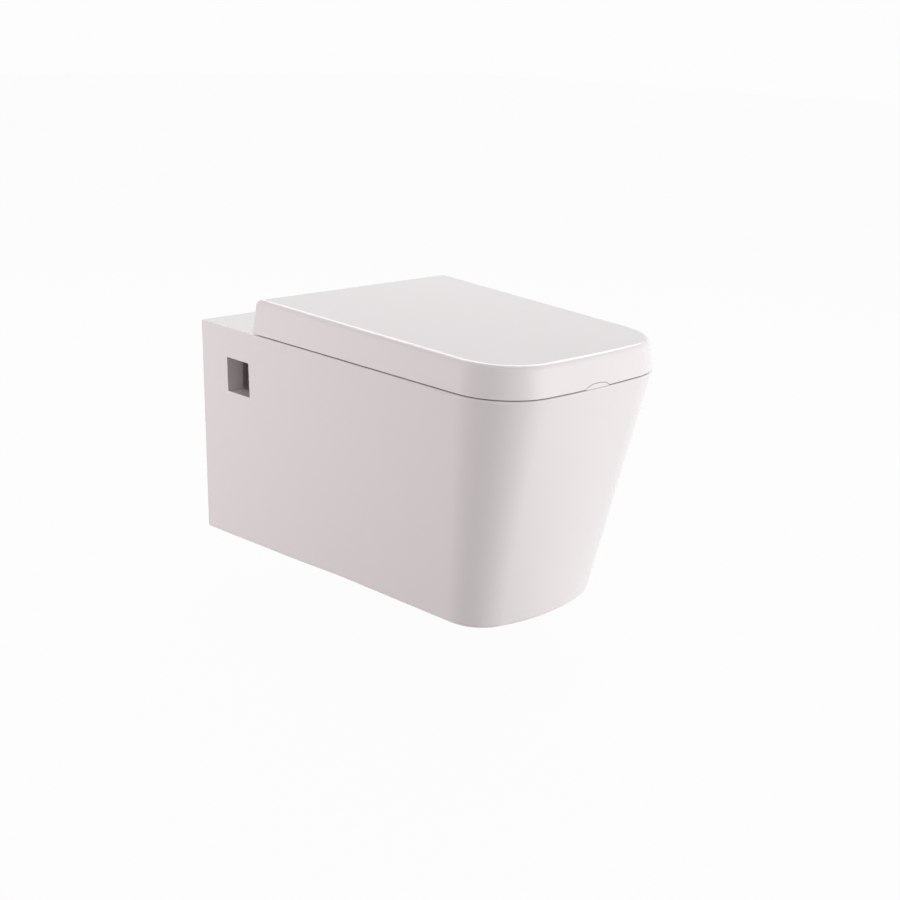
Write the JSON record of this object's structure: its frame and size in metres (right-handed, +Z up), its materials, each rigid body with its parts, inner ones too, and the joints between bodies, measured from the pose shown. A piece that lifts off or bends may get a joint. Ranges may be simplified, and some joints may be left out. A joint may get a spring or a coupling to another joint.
{
  "type": "wall hung toilet",
  "caption": "Square skirted wall hung toilet pan with a wrap-over soft-close seat and lid, wall studs, side access windows and rear spigot.",
  "frame": {"origin": "midway between the two wall studs on the wall face", "axes": "+Z up, -Y towards the front of the bowl, +X to the right seen from the front"},
  "size_m": [0.36, 0.5912, 0.3572],
  "materials": {
    "china": "white glazed vitreous china",
    "seat_plastic": "white moulded urea, glossy",
    "rubber": "black moulded rubber",
    "buffer_rubber": "pale moulded rubber",
    "zinc_steel": "bright zinc plated",
    "stainless": "drawn stainless steel",
    "chrome": "chromed zinc casting",
    "nylon": "natural nylon",
    "damper_plastic": "grey acetal"
  },
  "bodies": {
    "pan": {"pan": "china", "deck": "china", "back_wall": "china", "underside": "china", "bowl": "china", "trapway": "china", "inlet_tube": "china", "inlet_seal": "rubber", "stud_boss_left": "china", "window_frame_left": "china", "wall_stud_left": "zinc_steel", "stud_sleeve_left": "nylon", "stud_washer_left": "zinc_steel", "stud_nut_left": "zinc_steel", "hinge_gasket_left": "rubber", "hinge_base_left": "chrome", "hinge_bolt_left": "zinc_steel", "hinge_bush_left": "rubber", "hinge_nut_left": "nylon", "stud_boss_right": "china", "window_frame_right": "china", "wall_stud_right": "zinc_steel", "stud_sleeve_right": "nylon", "stud_washer_right": "zinc_steel", "stud_nut_right": "zinc_steel", "hinge_gasket_right": "rubber", "hinge_base_right": "chrome", "hinge_bolt_right": "zinc_steel", "hinge_bush_right": "rubber", "hinge_nut_right": "nylon", "seat_pin": "stainless", "lid_pin": "stainless", "seat_damper_shaft": "stainless", "lid_damper_shaft": "stainless"},
    "seat": {"seat_ring": "seat_plastic", "seat_damper_body": "damper_plastic", "seat_buffer_front_left": "buffer_rubber", "seat_buffer_front_right": "buffer_rubber", "seat_buffer_rear_left": "buffer_rubber", "seat_buffer_rear_right": "buffer_rubber"},
    "lid": {"lid": "seat_plastic", "lid_damper_body": "damper_plastic", "lid_buffer_left": "buffer_rubber", "lid_buffer_right": "buffer_rubber"}
  },
  "joints": [
    {"name": "seat_hinge", "type": "hinge", "parent": "pan", "child": "seat", "pos_m": [0, -0.096, 0.103], "axis": [-1, 0, 0], "range_deg": [0, 91]},
    {"name": "lid_hinge", "type": "hinge", "parent": "seat", "child": "lid", "pos_m": [0, -0.096, 0.103], "axis": [-1, 0, 0], "range_deg": [0, 93]}
  ]
}
